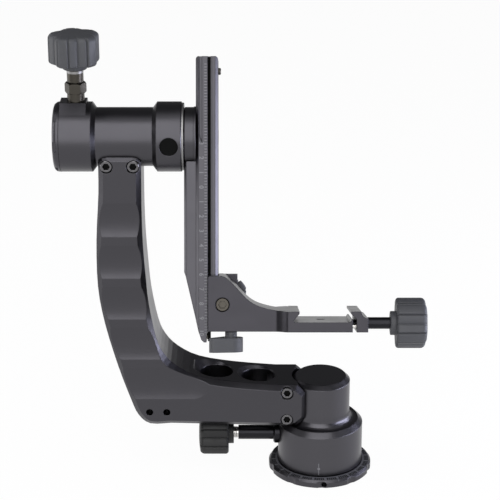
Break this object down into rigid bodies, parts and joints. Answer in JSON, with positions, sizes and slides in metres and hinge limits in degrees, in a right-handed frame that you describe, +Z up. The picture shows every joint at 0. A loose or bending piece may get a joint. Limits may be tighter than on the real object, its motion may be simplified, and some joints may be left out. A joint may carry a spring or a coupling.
{
  "type": "gimbal tripod head",
  "caption": "Side-arm gimbal head for a long lens: panning base, curved arm, tilt axis, hanging rail with an adjustable cradle and a dovetail clamp with lobed knobs.",
  "frame": {"origin": "mouth of the tripod thread, at the middle of the index disc's underside", "axes": "+Z up the pan axis, -X towards the side arm, -Y towards the front, where the clamp screw of the cradle shows; the tilt axis is parallel to X"},
  "size_m": [0.2603, 0.1116, 0.3293],
  "materials": {
    "graphite": "bead-blasted and anodised dark graphite, satin",
    "black_metal": "black anodised, satin",
    "gunmetal_steel": "dark plated, polished edges",
    "bright_steel": "plain turned",
    "inner_steel": "ground",
    "brass": "turned",
    "knob": "soft-touch moulded",
    "black_plastic": "moulded"
  },
  "bodies": {
    "base": {"base_plate": "graphite", "thread_insert": "bright_steel", "base_screws": "gunmetal_steel", "pan_spindle": "inner_steel", "pan_lock_drum": "inner_steel", "pan_bearing_inner_rings": "inner_steel", "spindle_nut": "inner_steel", "rim_grub_screw": "black_metal"},
    "arm": {"pan_housing": "graphite", "bearing_retainer": "inner_steel", "pan_bearing_outer_rings": "inner_steel", "pan_bearing_balls": "inner_steel", "pan_lock_sleeve": "black_metal", "arm": "graphite", "arm_base_bolts": "gunmetal_steel", "arm_top_bolts": "gunmetal_steel", "tilt_housing": "graphite", "tilt_end_cap": "graphite", "tilt_bearing_outer_rings": "inner_steel", "tilt_bearing_balls": "inner_steel", "tilt_seal_ring": "bright_steel", "port_plug": "black_plastic", "tilt_lock_sleeve": "gunmetal_steel", "tilt_lock_nut": "gunmetal_steel"},
    "pan_lock_shoe": {"pan_lock_shoe": "brass"},
    "pan_lock_knob": {"pan_lock_stud": "bright_steel", "pan_lock_knob": "knob"},
    "tilt_lock_shoe": {"tilt_lock_shoe": "brass"},
    "tilt_lock_knob": {"tilt_lock_stud": "gunmetal_steel", "tilt_lock_knob": "knob"},
    "swing": {"tilt_shaft": "inner_steel", "tilt_lock_drum": "inner_steel", "tilt_bearing_inner_rings": "inner_steel", "tilt_shaft_nut": "inner_steel", "swing_boss": "graphite", "swing_rail": "graphite", "axle_bolt": "gunmetal_steel", "rail_stop_screws": "gunmetal_steel"},
    "cradle": {"cradle_bracket": "graphite", "cradle_screw": "gunmetal_steel", "cradle_jaw_pins": "bright_steel", "clamp_guide_pins": "bright_steel"},
    "cradle_jaw": {"cradle_jaw": "graphite"},
    "cradle_knob": {"cradle_stud": "gunmetal_steel", "cradle_knob": "knob"},
    "lens_jaw": {"lens_jaw": "graphite"},
    "lens_knob": {"lens_screw": "black_metal", "lens_knob": "knob"},
    "height_stop": {"height_stop_screw": "gunmetal_steel", "height_stop_lever": "knob"}
  },
  "joints": [
    {"name": "pan", "type": "hinge", "parent": "base", "child": "arm", "pos_m": [0, 0, 0], "axis": [0, 0, 1], "continuous": true},
    {"name": "pan_lock_slide", "type": "slide", "parent": "arm", "child": "pan_lock_shoe", "axis": [-1, 0, 0], "range_m": [-0.0005, 0.0025]},
    {"name": "pan_lock_turn", "type": "hinge", "parent": "pan_lock_shoe", "child": "pan_lock_knob", "pos_m": [0, 0, 0.0266], "axis": [-1, 0, 0], "range_deg": [-140, 715]},
    {"name": "tilt", "type": "hinge", "parent": "arm", "child": "swing", "pos_m": [0, 0, 0.255], "axis": [1, 0, 0], "continuous": true},
    {"name": "tilt_lock_slide", "type": "slide", "parent": "arm", "child": "tilt_lock_shoe", "axis": [0, 0, 1], "range_m": [-0.0005, 0.0025]},
    {"name": "tilt_lock_turn", "type": "hinge", "parent": "tilt_lock_shoe", "child": "tilt_lock_knob", "pos_m": [-0.17119, 0, 0.255], "axis": [0, 0, 1], "range_deg": [-140, 715]},
    {"name": "cradle_height", "type": "slide", "parent": "swing", "child": "cradle", "axis": [0, 0.3256, 0.9455], "range_m": [0, 0.137]},
    {"name": "cradle_jaw_slide", "type": "slide", "parent": "cradle", "child": "cradle_jaw", "axis": [0, 0.9455, -0.3256], "range_m": [-0.0003, 0.003]},
    {"name": "cradle_knob_turn", "type": "hinge", "parent": "cradle_jaw", "child": "cradle_knob", "pos_m": [-0.0705, -0.0375, 0.14611], "axis": [0, 0.9455, -0.3256], "range_deg": [-134, 1348]},
    {"name": "lens_jaw_slide", "type": "slide", "parent": "cradle", "child": "lens_jaw", "axis": [1, 0, 0], "range_m": [-0.002, 0.006]},
    {"name": "lens_knob_turn", "type": "hinge", "parent": "lens_jaw", "child": "lens_knob", "pos_m": [0, -0.04213, 0.13265], "axis": [1, 0, 0], "range_deg": [-1028, 3085]},
    {"name": "height_stop_turn", "type": "hinge", "parent": "cradle", "child": "height_stop", "pos_m": [-0.0647, -0.06004, 0.13438], "axis": [0, 0.3256, 0.9455], "range_deg": [0, 215]}
  ],
  "couplings": [
    {"joint": "pan_lock_slide", "follows": "pan_lock_turn", "m_per_rad": 0.00019894},
    {"joint": "tilt_lock_slide", "follows": "tilt_lock_turn", "m_per_rad": 0.00019894},
    {"joint": "cradle_jaw_slide", "follows": "cradle_knob_turn", "m_per_rad": 0.00012732},
    {"joint": "lens_jaw_slide", "follows": "lens_knob_turn", "m_per_rad": 0.00011141}
  ]
}
